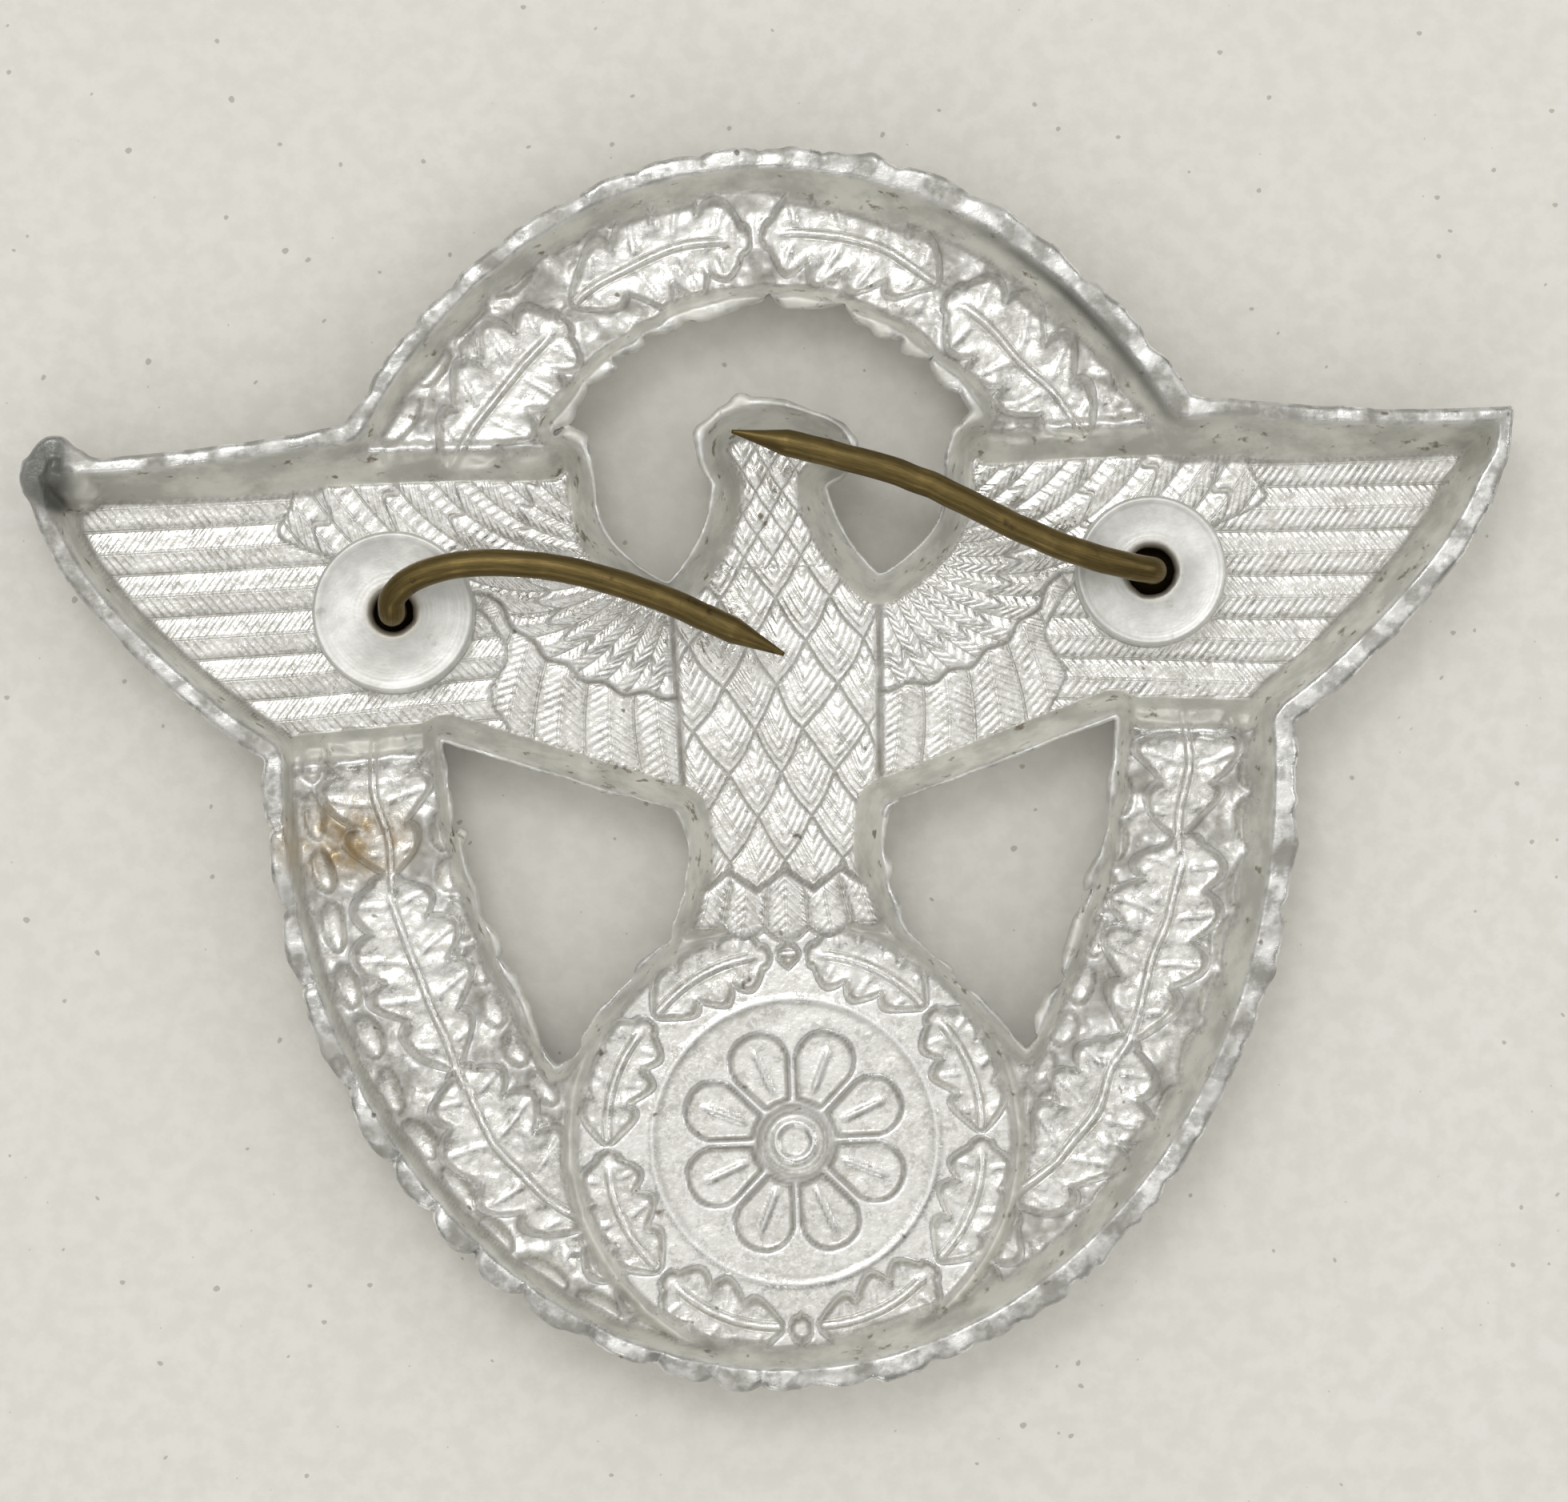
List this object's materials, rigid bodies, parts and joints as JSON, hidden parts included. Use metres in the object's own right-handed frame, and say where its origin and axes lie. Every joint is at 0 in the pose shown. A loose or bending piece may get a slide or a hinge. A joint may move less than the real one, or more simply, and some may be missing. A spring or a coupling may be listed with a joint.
{
  "type": "cap badge",
  "caption": "Hollow struck metal cap badge: oval leaf wreath, spread-winged bird and round rosette medallion, with bent wire prongs that fold on pads at the back.",
  "frame": {"origin": "middle of the oval wreath, on the plane of the front-most relief, so z = 0 is the face the badge lies on when face down", "axes": "+Z out of the hollow back, +Y towards the badge's top, +X to the right as seen from the back"},
  "size_m": [0.0658, 0.0548, 0.0055],
  "materials": {
    "struck_aluminium": "bright struck relief with a matt edge and light grime",
    "turned_aluminium": "smooth turned disc with fine rings",
    "brass_wire": "drawn wire, toned olive brown"
  },
  "bodies": {
    "badge": {"badge_shell": "struck_aluminium", "left_prong_pad": "turned_aluminium", "right_prong_pad": "turned_aluminium", "left_prong_root": "brass_wire", "right_prong_root": "brass_wire"},
    "left_prong": {"left_prong_arm": "brass_wire"},
    "right_prong": {"right_prong_arm": "brass_wire"}
  },
  "joints": [
    {"name": "left_prong_fold", "type": "hinge", "parent": "badge", "child": "left_prong", "pos_m": [-0.01695, 0.00755, 0.0031], "axis": [-0.1514, -0.9885, 0], "range_deg": [0, 84]},
    {"name": "right_prong_fold", "type": "hinge", "parent": "badge", "child": "right_prong", "pos_m": [0.01675, 0.00815, 0.0031], "axis": [0.3452, 0.9385, 0], "range_deg": [0, 84]}
  ]
}
